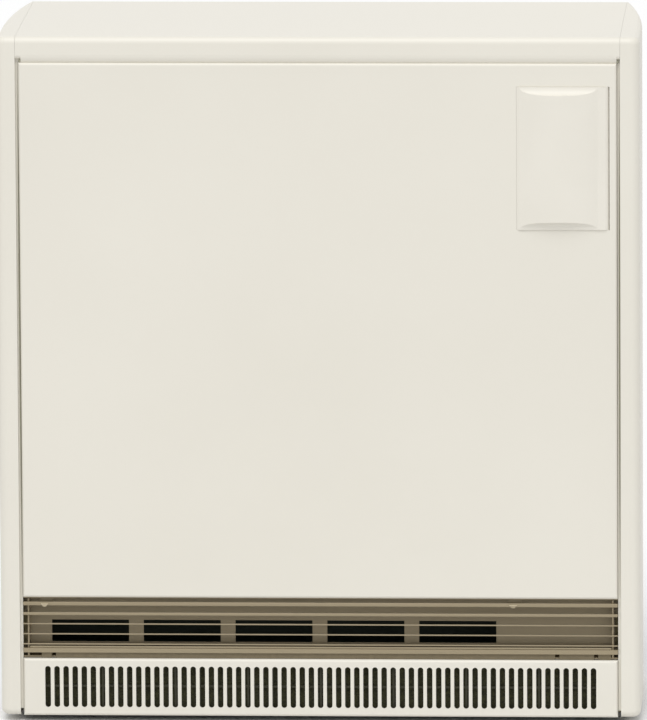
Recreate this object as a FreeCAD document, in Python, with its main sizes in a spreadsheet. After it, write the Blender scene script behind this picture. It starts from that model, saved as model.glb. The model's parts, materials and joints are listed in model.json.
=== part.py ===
import FreeCAD, Part
import math
import os
import re

import Sketcher
from FreeCAD import Vector

# A fan-assisted night storage heater: a painted steel casing around a core of bricks that is heated at
# night, with a fan that blows room air through the core by day.
# Millimetres. +Z up, +X to the right as the heater is seen, +Y towards the wall behind it.
# The origin is on the floor, at the middle of the footprint.

SIZES = {
    # Casing
    "body_width": 605,
    "body_height": 648,
    "body_depth": 243,
    "foot_height": 6,
    "foot_radius": 18,
    "foot_inset": 60,
    "foot_bevel": 1.5,
    "sheet": 1,
    "fit": 0.2,
    "seam_fit": 0.3,
    "side_depth": 18.5,
    "side_taper": 16.5,
    "side_straight": 78,
    "side_corner": 9,
    "side_return": 40,
    "nose_height": 21,
    "nose_edge": 6,
    "nose_edge_rear": 1.6,
    "nose_lip": 4,
    "nose_return": 5.5,
    "lid_gap": 0.1,
    "wall_back": 30,
    "wall_flange": 12,
    "rear_flange": 20,
    "tray_height": 26,
    "wall_hole_spacing": 400,
    "wall_hole_drop": 32,
    "wall_hole_radius": 4.5,
    "bead_count": 5,
    "bead_width": 12,
    "bead_depth": 2.5,
    "bead_margin": 82,
    "bead_rise": 110,
    "bead_drop": 75,
    # Front panel and its hangers
    "panel_gap": 3,
    "top_gap": 3.5,
    "panel_return": 14,
    "stop_back": 4.5,
    "panel_edge": 2.5,
    "hanger_width": 30,
    "hanger_height": 32,
    "hanger_inset": 80,
    "hanger_sheet": 1.5,
    # Control flap, its hinge and the box behind it
    "flap_width": 87,
    "flap_height": 135.5,
    "flap_side": 7,
    "flap_drop": 22,
    "flap_rise": 7,
    "flap_edge": 1.2,
    "flap_bevel": 2.5,
    "flap_land": 6,
    "flap_skirt": 1,
    "flap_wall": 1.8,
    "flap_cove": 8,
    "flap_end_wall": 3,
    "flap_gap": 0.3,
    "barrel_radius": 5,
    "pin_radius": 1.5,
    "pin_fit": 0.05,
    "box_wall": 1.8,
    "box_depth": 26,
    "box_rim": 2.5,
    "box_ledge": 1.5,
    # Control knobs, spindles and the controllers that they turn
    "knob_radius": 18,
    "knob_skirt": 3,
    "knob_grip_radius": 14,
    "knob_height": 15,
    "knob_edge": 1.5,
    "knob_gap": 0.4,
    "knob_spacing": 62,
    "flute_radius": 2,
    "flute_count": 14,
    "pointer_width": 2,
    "pointer_depth": 0.8,
    "spindle_radius": 3,
    "spindle_in_knob": 10,
    "spindle_in_control": 10,
    "spindle_hole": 4,
    "control_width": 46,
    "control_height": 40,
    "control_depth": 30,
    "control_corner": 3,
    # Air outlet
    "outlet_height": 58,
    "port_back": 18,
    "port_sheet": 1.2,
    "port_count": 5,
    "port_margin": 26,
    "port_gap": 14,
    "port_height": 21,
    "port_rise": 12.5,
    "port_lip": 13,
    "bar_count": 5,
    "bar_depth": 7,
    "bar_thick": 1.2,
    "bar_tilt": 1.1,
    "bar_set": 1.5,
    "bar_top": 7.9,
    "bar_bottom": 11.4,
    "rail_thick": 4.2,
    "rail_rise": 4.8,
    "cap_thick": 1.5,
    "cap_inset": 4,
    "cap_set": 2.5,
    "end_slot": 3,
    "end_slot_rise": 9,
    "end_slot_height": 31,
    "latch_height": 2.6,
    "latch_start": 1,
    "latch_slot": 16,
    "latch_gap": 9.5,
    "latch_notch": 4,
    "latch_end": 2.5,
    "latch_side": 18.6,
    "latch_pitch": 36.8,
    # Air inlet and its filter
    "inlet_height": 54.7,
    "inlet_gap": 0.8,
    "inlet_return": 12,
    "inlet_wall": 1.5,
    "inlet_edge": 2.5,
    "slot_count": 61,
    "slot_width": 5.2,
    "slot_height": 39.5,
    "slot_margin": 23,
    "slot_rise": 8,
    "filter_fit": 0.3,
    "filter_thick": 3,
    "filter_back": 6,
    "filter_frame": 5,
    "filter_rib": 2,
    "filter_columns": 24,
    "filter_rows": 2,
    # Core, its insulation and its elements
    "bay_width": 116,
    "deck_sheet": 1.2,
    "side_insulation": 46,
    "front_insulation": 38,
    "rear_insulation": 28,
    "base_insulation": 33,
    "top_insulation": 40,
    "top_clear": 1.5,
    "cover_height": 14,
    "brick_layers": 6,
    "channel_count": 4,
    "channel_margin": 11.05,
    "channel_width": 18,
    "channel_web": 9,
    "row_margin": 24.1,
    "passage_width": 28,
    "passage_inset": 15,
    "groove_radius": 5.2,
    "element_radius": 4.25,
    "element_leg": 18,
    "element_overhang": 24,
    "bend_clear": 6,
    "bend_pocket": 46,
    "bush_radius": 9,
    "bush_length": 12,
    "bush_fit": 0.15,
    "link_width": 14,
    "link_thick": 1.5,
    "sensor_radius": 3,
    "sensor_length": 120,
    "sensor_hole": 4,
    # Air mixing
    "divider_back": 20,
    "damper_inset": 62,
    "damper_drop": 10,
    "damper_sheet": 1.2,
    "damper_reach": 40,
    "damper_lap": 4,
    "damper_gap": 0.4,
    "damper_pin": 2,
    "damper_stand": 8,
    "sleeve_radius": 3.4,
    "bracket_sheet": 2,
    "bracket_offset": 6,
    "bracket_size": 12,
    "coil_thick": 0.7,
    "coil_step": 1.6,
    "coil_half_turns": 5,
    "coil_width": 8,
    # Fan and its motor
    "fan_height": 48,
    "fan_forward": 5,
    "cheek_inset": 40,
    "cheek_sheet": 1.2,
    "motor_space": 70,
    "impeller_radius": 28,
    "impeller_gap": 8,
    "impeller_disc": 1.5,
    "blade_count": 26,
    "blade_depth": 6,
    "blade_thick": 0.8,
    "blade_curve": 5,
    "hub_radius": 7,
    "hub_length": 10,
    "scroll_radius": 40,
    "scroll_lead": 36,
    "tongue_forward": 12,
    "tongue_rise": 36,
    "tongue_toe": 12,
    "shaft_radius": 3,
    "shaft_overhang": 4,
    "shaft_hole": 8,
    "bearing_radius": 9,
    "bearing_length": 8,
    "bearing_flange": 2,
    "motor_gap": 9,
    "stator_stack": 24,
    "stator_width": 52,
    "stator_foot": 24,
    "stator_head": 46,
    "stator_leg": 12,
    "stator_window": 28,
    "coil_end": 6,
    "coil_cover": 6,
    "rotor_radius": 14.6,
    "air_gap": 0.4,
    "post_radius": 4,
    "strap_gap": 10,
    "strap_width": 16,
    "strap_sheet": 2,
    # Electrics
    "terminal_ways": 6,
    "terminal_pitch": 12,
    "terminal_depth": 24,
    "terminal_height": 28,
    "terminal_forward": 50,
    "terminal_slot": 7,
    "terminal_screw": 3,
    "loom_radius": 5,
    "loom_bend": 30,
    "cutout_radius": 9,
    "cutout_length": 12,
    "cutout_flange": 40,
    "cutout_height": 16,
    "reset_radius": 3,
    "reset_length": 7,
    "reset_depth": 5,
    "gland_side": 60,
    "gland_rise": 54,
    "gland_bore": 6.5,
    "gland_body": 9.8,
    "gland_flange": 13,
    "gland_lip": 2.5,
    "gland_length": 18,
    # Clips of the outlet grille
    "clip_width": 12,
    "clip_height": 7,
    "clip_sheet": 1,
    "clip_left": 16,
    "clip_right": 103,
}

# Places and lengths that follow from the sizes, as formulas.
PLACES = {
    "front_y": "(flap_rise - body_depth) / 2",
    "rear_y": "front_y + body_depth",
    "top_z": "foot_height + body_height",
    "side_x": "body_width / 2",
    "seam_x": "side_x - side_depth",
    "panel_x": "seam_x - panel_gap",
    "nose_z": "top_z - nose_height",
    "panel_top": "nose_z - top_gap",
    "inlet_top": "foot_height + inlet_height",
    "outlet_low": "inlet_top + inlet_gap",
    "panel_low": "outlet_low + outlet_height",
    "flank_length": "body_depth - side_straight",
    "flank_radius": "(flank_length^2 + side_taper^2) / (2 * side_taper)",
    # Inner walls
    "wall_out": "seam_x - seam_fit",
    "wall_in": "wall_out - sheet",
    "tray_x": "wall_in - sheet - 2 * fit",
    "floor_z": "foot_height + sheet",
    "wall_y": "front_y + wall_back",
    "zone_y": "wall_y + sheet + fit",
    "back_y": "rear_y - sheet - bead_depth - fit",
    "bay_left": "wall_in - bay_width",
    "bay_wall": "bay_left - sheet",
    "wall_hole_z": "nose_z - wall_hole_drop",
    "bead_x": "wall_in - bead_margin",
    "bead_pitch": "2 * bead_x / (bead_count - 1)",
    "bead_low": "foot_height + bead_rise",
    "bead_high": "wall_hole_z - bead_drop",
    # Control flap
    "flap_right": "panel_x - flap_side",
    "flap_left": "flap_right - flap_width",
    "flap_top": "panel_top - flap_drop",
    "flap_low": "flap_top - flap_height",
    "pin_x": "flap_right - barrel_radius",
    "pin_y": "front_y - flap_edge + barrel_radius",
    "crown": "flap_rise - flap_edge",
    "crown_chord": "pin_x - flap_land - flap_left - flap_bevel",
    "crown_radius": "(crown_chord^2 / 4 + crown^2) / (2 * crown)",
    "end_run": "sqrt(2 * flap_cove * crown - crown^2)",
    "box_left": "flap_left - flap_gap",
    "box_right": "flap_right + flap_gap",
    "box_low": "flap_low - flap_gap",
    "box_top": "flap_top + flap_gap",
    "rim_y": "front_y + sheet + fit",
    "fascia_y": "front_y + box_depth",
    # Controls
    "knob_x": "(flap_left + pin_x - barrel_radius) / 2",
    "knob_mid_z": "(flap_low + flap_top) / 2",
    "knob_back": "fascia_y - knob_gap",
    "knob_front": "knob_back - knob_height",
    "control_y": "fascia_y + box_wall + fit",
    # Outlet and inlet
    "port_y": "front_y + port_back",
    "port_left": "port_margin - panel_x",
    "port_width": "(bay_wall - port_left - (port_count - 1) * port_gap) / port_count",
    "port_pitch": "port_width + port_gap",
    "bar_y": "front_y + bar_set",
    "bar_pitch": "(outlet_height - bar_top - bar_bottom) / (bar_count - 1)",
    "slot_pitch": "2 * (panel_x - slot_margin) / (slot_count - 1)",
    "slot_low": "foot_height + slot_rise + slot_width / 2",
    "slot_high": "foot_height + slot_rise + slot_height - slot_width / 2",
    "filter_x": "panel_x - inlet_wall - filter_fit",
    "filter_low": "foot_height + inlet_wall + filter_fit",
    "filter_top": "inlet_top - inlet_wall - filter_fit",
    "filter_y": "front_y + filter_back",
    "filter_pitch_x": "(2 * (filter_x - filter_frame) + filter_rib) / filter_columns",
    "filter_pitch_z": "(filter_top - filter_low - 2 * filter_frame + filter_rib) / filter_rows",
    # Core
    "deck_top": "panel_low + deck_sheet + fit",
    "brick_left": "side_insulation + fit - tray_x",
    "brick_right": "bay_wall - side_insulation - 2 * fit",
    "brick_front": "zone_y + front_insulation + fit",
    "brick_back": "back_y - rear_insulation - fit",
    "brick_low": "deck_top + base_insulation + fit",
    "cover_top": "nose_z - top_clear - top_insulation - fit",
    "brick_top": "cover_top - cover_height - fit",
    "layer": "(brick_top - brick_low) / brick_layers",
    "brick_length": "(brick_right - brick_left - fit) / 2",
    "core_y": "(brick_front + brick_back) / 2",
    "row_offset": "(brick_back - brick_front) / 2 - row_margin",
    "first_element_z": "brick_low + layer - fit / 2",
    "element_end": "bay_left + element_overhang",
    "bend_x": "brick_left - bend_clear",
    "channel_pitch": "(brick_length - 2 * channel_margin + channel_web) / channel_count",
    "sensor_z": "brick_top + fit + cover_height / 2",
    # Air mixing
    "divider_y": "core_y - divider_back",
    "divider_left": "fit + wall_flange - wall_in",
    "divider_right": "bay_wall - fit",
    "divider_top": "panel_low - fit",
    "damper_left": "damper_inset - tray_x",
    "damper_right": "bay_wall - damper_inset",
    "damper_y": "divider_y - damper_gap - damper_stand",
    "damper_z": "panel_low - damper_drop",
    "damper_low": "damper_z - damper_reach",
    # Fan
    "fan_y": "core_y + row_offset - fan_forward",
    "fan_z": "floor_z + fan_height",
    "cheek_left": "cheek_inset - tray_x",
    "cheek_right": "bay_wall - motor_space",
    "impeller_left": "cheek_left + cheek_sheet + impeller_gap",
    "impeller_right": "cheek_right - impeller_gap",
    "stator_left": "cheek_right + cheek_sheet + motor_gap",
    "stator_right": "stator_left + stator_stack",
    "strap_x": "stator_right + strap_gap",
    # Electrics
    "terminal_y": "back_y - terminal_forward - terminal_depth",
    "terminal_half": "terminal_ways * terminal_pitch / 2",
    "terminal_top": "floor_z + fit + terminal_height",
    "loom_y": "terminal_y + terminal_depth / 2",
    "control_back": "control_y + control_depth",
    "room_z": "knob_mid_z - knob_spacing / 2",
    "charge_z": "knob_mid_z + knob_spacing / 2",
    "gland_x": "wall_in - gland_side",
    "gland_z": "floor_z + gland_rise",
    "cutout_z": "(first_element_z + brick_top) / 2",
    "cutout_x": "bay_left + fit",
}

PLANES = {"X": "YZ_Plane", "Y": "XZ_Plane", "Z": "XY_Plane"}
LEFT_TURN = 1
RIGHT_TURN = -1
HALF_ROUND = "half round"

doc = FreeCAD.newDocument("storage_heater")
sheet = doc.addObject("Spreadsheet::Sheet", "Sizes")
for row, (name, value) in enumerate(SIZES.items(), start=1):
    sheet.set(f"A{row}", str(value))
    sheet.setAlias(f"A{row}", name)
doc.recompute()

nodes = {}


# Formulas and bindings

def cells(text):
    """Write a formula out in sheet cells, with each place replaced by its own formula."""

    def swap(match):
        word = match.group(0)
        if word in PLACES:
            return f"({cells(PLACES[word])})"
        if word in SIZES:
            return f"Sizes.{word}"
        return word

    return re.sub(r"[a-z_][a-z_0-9]*", swap, str(text))


def number(text):
    return float(sheet.evalExpression(cells(text)))


def bind(thing, path, text):
    thing.setExpression(path, cells(text))


def keep(label, thing):
    """Give a finished sub-part the name of its node."""
    thing.Label = label
    nodes[label] = thing
    return thing


# Sketches

def new_body(label):
    return keep(label, doc.addObject("PartDesign::Body", label))


def origin_feature(body, role):
    return next(feature for feature in body.Origin.OriginFeatures if feature.Role == role)


def sketch_on(body, axis, level, origin=("0", "0")):
    """A sketch square to an axis at a level along it, with its own origin moved within that plane."""
    sketch = body.newObject("Sketcher::SketchObject", "Profile")
    sketch.AttachmentSupport = [(origin_feature(body, PLANES[axis]), "")]
    sketch.MapMode = "FlatFace"
    depth = f"-({level})" if axis == "Y" else level
    for direction, text in zip("xyz", (origin[0], origin[1], depth)):
        bind(sketch, f"AttachmentOffset.Base.{direction}", text)
    return sketch


def pin_point(sketch, line, end, spot):
    """Hold one end of a line or arc at a place given by two formulas."""
    for kind, text in zip(("DistanceX", "DistanceY"), spot):
        held = sketch.addConstraint(Sketcher.Constraint(kind, -1, 1, line, end, number(text)))
        bind(sketch, f"Constraints[{held}]", text)


def draw_arc(sketch, start, end, point):
    """An arc to the next point: the shorter one of its radius, or a half round on a level or upright
    chord."""
    chord = end - start
    across = Vector(-chord.y, chord.x, 0).normalize() * point[3]
    half = chord.Length / 2
    radius = half if point[2] == HALF_ROUND else number(point[2])
    centre = (start + end) / 2 + across * math.sqrt(max(radius ** 2 - half ** 2, 0))
    line = sketch.addGeometry(Part.Arc(start, centre - across * radius, end), False)
    if point[2] != HALF_ROUND:
        held = sketch.addConstraint(Sketcher.Constraint("Radius", line, radius))
        bind(sketch, f"Constraints[{held}]", point[2])
        return line
    kind, text = ("DistanceY", point[1]) if abs(chord.x) > abs(chord.y) else ("DistanceX", point[0])
    held = sketch.addConstraint(Sketcher.Constraint(kind, -1, 1, line, 3, number(text)))
    bind(sketch, f"Constraints[{held}]", text)
    return line


def draw(sketch, points, closed=True):
    """A run of lines through points; a point with a radius and a turn starts an arc instead."""
    first = sketch.GeometryCount
    spots = [Vector(number(point[0]), number(point[1]), 0) for point in points]
    count = len(points) if closed else len(points) - 1
    ends = []
    for index in range(count):
        point = points[index]
        start = spots[index]
        end = spots[(index + 1) % len(points)]
        if len(point) == 4:
            line = draw_arc(sketch, start, end, point)
            ends.append((1, 2) if point[3] == LEFT_TURN else (2, 1))
        else:
            line = sketch.addGeometry(Part.LineSegment(start, end), False)
            ends.append((1, 2))
        pin_point(sketch, line, ends[index][0], point[:2])
    for index in range(count if closed else count - 1):
        following = (index + 1) % count
        joint = (first + index, ends[index][1], first + following, ends[following][0])
        sketch.addConstraint(Sketcher.Constraint("Coincident", *joint))
    if not closed:
        pin_point(sketch, first + count - 1, ends[-1][1], points[-1][:2])


def draw_circle(sketch, centre, radius):
    spot = Vector(number(centre[0]), number(centre[1]), 0)
    line = sketch.addGeometry(Part.Circle(spot, Vector(0, 0, 1), number(radius)), False)
    pin_point(sketch, line, 3, centre)
    held = sketch.addConstraint(Sketcher.Constraint("Radius", line, number(radius)))
    bind(sketch, f"Constraints[{held}]", radius)


def rectangle(low_x, high_x, low_y, high_y):
    return [(low_x, low_y), (high_x, low_y), (high_x, high_y), (low_x, high_y)]


def slot(middle, low, high, width):
    """An upright slot with round ends, between the two centres of its ends."""
    half = f"({width}) / 2"
    left = f"{middle} - {half}"
    right = f"{middle} + {half}"
    return [(left, low, HALF_ROUND, LEFT_TURN), (right, low),
            (right, high, HALF_ROUND, LEFT_TURN), (left, high)]


# Features

def extrude(kind, body, axis, start, end, profiles, origin):
    sketch = sketch_on(body, axis, start, origin)
    for profile in profiles:
        if isinstance(profile, tuple):
            draw_circle(sketch, profile[0], profile[1])
        else:
            draw(sketch, profile)
    feature = body.newObject(kind, "Extrusion")
    feature.Profile = sketch
    bind(feature, "Length", f"({end}) - ({start})")
    along_normal = axis != "Y"
    feature.Reversed = along_normal if kind == "PartDesign::Pocket" else not along_normal
    return feature


def prism(body, axis, start, end, *profiles, origin=("0", "0")):
    """Add material from one level to a higher one along an axis. A profile is a list of points, or a
    centre and a radius for a circle."""
    return extrude("PartDesign::Pad", body, axis, start, end, profiles, origin)


def carve(body, axis, start, end, *profiles, origin=("0", "0")):
    """Take material away from one level to a higher one along an axis."""
    return extrude("PartDesign::Pocket", body, axis, start, end, profiles, origin)


def lathe(body, axis_place, points):
    """Turn a profile of radius and height about an upright line."""
    sketch = sketch_on(body, "Y", axis_place[1], (axis_place[0], "0"))
    draw(sketch, points)
    feature = body.newObject("PartDesign::Revolution", "Turning")
    feature.Profile = sketch
    feature.ReferenceAxis = (sketch, ["V_Axis"])
    feature.Angle = 360
    return feature


def repeat(body, feature, axis, pitch, count, second=None):
    """Repeat a feature along one axis, or along two as a grid."""
    pattern = body.newObject("PartDesign::LinearPattern", "Row")
    pattern.Originals = [feature]
    pattern.Direction = (origin_feature(body, f"{axis}_Axis"), [""])
    bind(pattern, "Length", f"({pitch}) * ({count} - 1)")
    bind(pattern, "Occurrences", count)
    if second:
        axis_two, pitch_two, count_two = second
        pattern.Direction2 = (origin_feature(body, f"{axis_two}_Axis"), [""])
        bind(pattern, "Length2", f"({pitch_two}) * ({count_two} - 1)")
        bind(pattern, "Occurrences2", count_two)
    body.Tip = pattern
    return pattern


def repeat_round(body, feature, count):
    """Repeat a feature around the normal of its own sketch."""
    pattern = body.newObject("PartDesign::PolarPattern", "Ring")
    pattern.Originals = [feature]
    pattern.Axis = (feature.Profile[0], ["N_Axis"])
    pattern.Angle = 360
    bind(pattern, "Occurrences", count)
    body.Tip = pattern
    return pattern


def chosen(kind, members, wanted):
    return [f"{kind}{index}" for index, member in enumerate(members, start=1) if wanted(member)]


def round_edges(body, radius, wanted):
    doc.recompute()
    base = body.Tip
    feature = body.newObject("PartDesign::Fillet", "Rounding")
    feature.Base = (base, chosen("Edge", base.Shape.Edges, wanted))
    bind(feature, "Radius", radius)
    return feature


def shell(body, wall, opened):
    """Hollow a body out to a wall, open at the chosen faces."""
    doc.recompute()
    base = body.Tip
    feature = body.newObject("PartDesign::Thickness", "Shell")
    feature.Base = (base, chosen("Face", base.Shape.Faces, opened))
    feature.Reversed = True
    bind(feature, "Value", wall)
    return feature


def at_level(axis, text):
    """A test for an edge or face that lies in one plane across an axis."""
    level = number(text)
    direction = axis.lower()

    def test(member):
        spots = [vertex.Point for vertex in member.Vertexes]
        spots.append(member.CenterOfMass)
        return all(abs(getattr(spot, direction) - level) < 0.001 for spot in spots)

    return test


def all_of(*tests):
    return lambda member: all(test(member) for test in tests)


def any_of(*tests):
    return lambda member: any(test(member) for test in tests)


def none_of(*tests):
    return lambda member: not any(test(member) for test in tests)


# Casing

def make_feet():
    feet = new_body("floor_feet")
    corner = ("foot_inset - side_x", "front_y + foot_inset")
    foot = lathe(feet, corner, [
        ("0", "0"), ("foot_radius - foot_bevel", "0"), ("foot_radius", "foot_bevel"),
        ("foot_radius", "foot_height"), ("0", "foot_height")])
    repeat(feet, foot, "X", "2 * (side_x - foot_inset)", "2", ("Y", "body_depth - 2 * foot_inset", "2"))


def make_base_tray():
    tray = new_body("base_tray")
    tray_front = "front_y + wall_back + sheet + fit"
    prism(tray, "Z", "foot_height", "foot_height + tray_height",
          rectangle("-tray_x", "tray_x", tray_front, "back_y"))
    carve(tray, "Z", "floor_z", "foot_height + tray_height",
          rectangle("sheet - tray_x", "tray_x - sheet", f"{tray_front} - sheet", "back_y - sheet"))


def make_rear_panel():
    """A shallow pan, stiffened by upright beads that are pressed in from behind."""
    panel = new_body("rear_panel")
    half = "wall_in - fit"
    prism(panel, "Y", "rear_y - rear_flange", "rear_y",
          rectangle(f"-({half})", half, "foot_height", "nose_z - fit"))
    carve(panel, "Y", "rear_y - rear_flange", "rear_y - sheet",
          rectangle(f"sheet - ({half})", f"{half} - sheet", "foot_height - sheet", "nose_z - fit - sheet"))
    hole = carve(panel, "Y", "rear_y - sheet", "rear_y",
                 (("-wall_hole_spacing / 2", "wall_hole_z"), "wall_hole_radius"))
    repeat(panel, hole, "X", "wall_hole_spacing", "2")
    carve(panel, "Y", "rear_y - sheet", "rear_y", (("gland_x", "gland_z"), "gland_body + pin_fit"))
    bead = prism(panel, "Y", "rear_y - sheet - bead_depth", "rear_y - sheet",
                 slot("-bead_x", "bead_low", "bead_high", "bead_width + 2 * sheet"))
    repeat(panel, bead, "X", "bead_pitch", "bead_count")
    groove = carve(panel, "Y", "rear_y - bead_depth", "rear_y",
                   slot("-bead_x", "bead_low", "bead_high", "bead_width"))
    repeat(panel, groove, "X", "bead_pitch", "bead_count")


def make_inner_wall(label, hand):
    """A side wall of the frame, with a front edge folded inwards."""
    wall = new_body(label)
    fold = f"{hand} * (wall_in - wall_flange)"
    inner = f"{hand} * wall_in"
    outer = f"{hand} * wall_out"
    prism(wall, "Z", "foot_height", "nose_z - fit", [
        (outer, "wall_y - sheet"), (outer, "rear_y"), (inner, "rear_y"), (inner, "wall_y"),
        (fold, "wall_y"), (fold, "wall_y - sheet")])


def make_side_panels():
    """Bowed cheeks: full depth at the front, drawn in to almost nothing at the wall, with top and bottom
    edges whose rounding dies away with the depth. A strip behind each front edge closes the gap beside the
    front panel. The left cheek mirrors the right one."""
    block = doc.addObject("PartDesign::Body", "SideBlock")
    prism(block, "Z", "foot_height", "top_z", [
        ("seam_x", "front_y"), ("side_x", "front_y"),
        ("side_x", "front_y + side_straight", "flank_radius", LEFT_TURN),
        ("side_x - side_taper", "rear_y"), ("seam_x", "rear_y")])
    round_edges(block, "side_corner", all_of(at_level("X", "side_x"), at_level("Y", "front_y")))
    doc.recompute()
    rounded = doc.addObject("Part::Fillet", "SideRounding")
    rounded.Base = block
    wall = number("rear_y")
    at_wall = at_level("Y", "rear_y")
    ends = any_of(at_level("Z", "top_z"), at_level("Z", "foot_height"))
    wanted = all_of(ends, none_of(at_wall, at_level("X", "seam_x")))
    edges = []
    for index, edge in enumerate(block.Shape.Edges, start=1):
        if wanted(edge):
            spots = [edge.valueAt(edge.FirstParameter), edge.valueAt(edge.LastParameter)]
            names = ["nose_edge_rear" if abs(spot.y - wall) < 0.001 else "nose_edge" for spot in spots]
            edges.append((index, *map(number, names)))
    rounded.Edges = edges
    doc.recompute()
    open_sides = any_of(at_level("X", "seam_x"), at_wall)
    skin = doc.addObject("Part::Thickness", "SideSkin")
    skin.Faces = (rounded, chosen("Face", rounded.Shape.Faces, open_sides))
    bind(skin, "Value", "-sheet")
    flange = doc.addObject("Part::Box", "SideFlange")
    bind(flange, "Length", "sheet")
    bind(flange, "Width", "side_return - sheet / 2")
    bind(flange, "Height", "body_height - 2 * nose_edge")
    bind(flange, "Placement.Base.x", "seam_x")
    bind(flange, "Placement.Base.y", "front_y + sheet / 2")
    bind(flange, "Placement.Base.z", "foot_height + nose_edge")
    stop = doc.addObject("Part::Box", "PanelStop")
    bind(stop, "Length", "panel_gap - seam_fit + sheet / 2")
    bind(stop, "Width", "sheet")
    bind(stop, "Height", "panel_top - foot_height - nose_edge")
    bind(stop, "Placement.Base.x", "panel_x + seam_fit")
    bind(stop, "Placement.Base.y", "front_y + stop_back")
    bind(stop, "Placement.Base.z", "foot_height + nose_edge")
    right = keep("right_side_panel", doc.addObject("Part::MultiFuse", "RightSidePanel"))
    right.Shapes = [skin, flange, stop]
    left = keep("left_side_panel", doc.addObject("Part::Mirroring", "LeftSidePanel"))
    left.Source = right
    left.Normal = Vector(1, 0, 0)


def make_lid():
    """A folded sheet with a rounded nose that is turned back under itself and then down to the front panel,
    closed at both ends."""
    lid = new_body("lid")
    half = "seam_x - lid_gap"
    outside = [
        ("rear_y", "nose_z"), ("rear_y", "top_z"),
        ("front_y + nose_edge", "top_z", "nose_edge", LEFT_TURN), ("front_y", "top_z - nose_edge"),
        ("front_y", "nose_z + nose_lip", "nose_lip", LEFT_TURN), ("front_y + nose_lip", "nose_z")]
    inside = [
        ("front_y + nose_return - sheet", "nose_z"), ("front_y + nose_return - sheet", "panel_top + fit"),
        ("front_y + nose_return", "panel_top + fit"), ("front_y + nose_return", "nose_z + sheet"),
        ("front_y + nose_lip", "nose_z + sheet", "nose_lip - sheet", RIGHT_TURN),
        ("front_y + sheet", "nose_z + nose_lip"),
        ("front_y + sheet", "top_z - nose_edge", "nose_edge - sheet", RIGHT_TURN),
        ("front_y + nose_edge", "top_z - sheet"),
        ("rear_y - sheet", "top_z - sheet"), ("rear_y - sheet", "nose_z")]
    prism(lid, "X", f"-({half})", half, outside + inside)
    prism(lid, "X", f"-({half})", f"sheet - ({half})", outside)
    prism(lid, "X", f"{half} - sheet", half, outside)


# Front panel

def make_front_panel():
    panel = new_body("front_panel")
    prism(panel, "Y", "front_y", "front_y + panel_return",
          rectangle("-panel_x", "panel_x", "panel_low", "panel_top"))
    round_edges(panel, "panel_edge", at_level("Y", "front_y"))
    shell(panel, "sheet", at_level("Y", "front_y + panel_return"))
    carve(panel, "Y", "front_y", "front_y + sheet", rectangle("box_left", "box_right", "box_low", "box_top"))


def make_panel_hangers():
    """Two shelves on the inner front wall that carry the top return of the front panel."""
    hangers = new_body("panel_hangers")
    start = "hanger_inset - panel_x"
    shelf = "panel_top - sheet - fit"
    back = "wall_y - fit"
    hanger = prism(hangers, "X", start, f"{start} + hanger_width", [
        (back, f"{shelf} - hanger_height"), (back, shelf), ("front_y + panel_edge + sheet", shelf),
        ("front_y + panel_edge + sheet", f"{shelf} - hanger_sheet"),
        (f"{back} - hanger_sheet", f"{shelf} - hanger_sheet"),
        (f"{back} - hanger_sheet", f"{shelf} - hanger_height")])
    repeat(hangers, hanger, "X", f"bay_wall - hanger_inset - ({start})", "2")


def make_inner_front_wall():
    wall = new_body("inner_front_wall")
    low = "panel_low + deck_sheet + 2 * fit"
    high = "nose_z - top_clear"
    prism(wall, "Y", "wall_y", "wall_y + sheet", rectangle("fit - wall_in", "bay_left", low, high))


# Control flap

def make_control_flap():
    """A cover with a crowned face and coved ends, which swings on a barrel along its right edge."""
    flap = new_body("control_flap")
    crest = "front_y - flap_edge"
    skirt = "front_y + flap_skirt"
    prism(flap, "Z", "flap_low", "flap_top", [
        ("flap_left", skirt), ("flap_left", "front_y"),
        ("flap_left + flap_bevel", crest, "crown_radius", LEFT_TURN),
        ("pin_x - flap_land", crest), ("pin_x", crest), ("pin_x", skirt)])
    beyond = f"{crest} - flap_rise"
    reach = "sqrt(2 * flap_cove * flap_rise - flap_rise^2)"
    for edge, way, turn in (("flap_top", "-", LEFT_TURN), ("flap_low", "+", RIGHT_TURN)):
        carve(flap, "X", "flap_left", "pin_x", [
            (crest, edge), (beyond, edge), (beyond, f"{edge} {way} {reach}", "flap_cove", turn)])
    inside = "flap_left + flap_wall"
    hinge_side = "pin_x - barrel_radius - flap_gap"
    crease = f"{crest} + flap_wall"
    carve(flap, "Z", "flap_low + end_run + flap_end_wall", "flap_top - end_run - flap_end_wall", [
        (inside, skirt), (inside, crease, "crown_radius - flap_wall", LEFT_TURN),
        (hinge_side, crease), (hinge_side, skirt)])
    prism(flap, "Z", "flap_low", "flap_top", (("pin_x", "pin_y"), "barrel_radius"))
    carve(flap, "Z", "flap_low", "flap_top", (("pin_x", "pin_y"), "pin_radius + pin_fit"))


def make_hinge_pin():
    pin = new_body("flap_hinge_pin")
    prism(pin, "Z", "box_low - box_wall", "box_top + box_wall", (("pin_x", "pin_y"), "pin_radius"))


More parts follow.
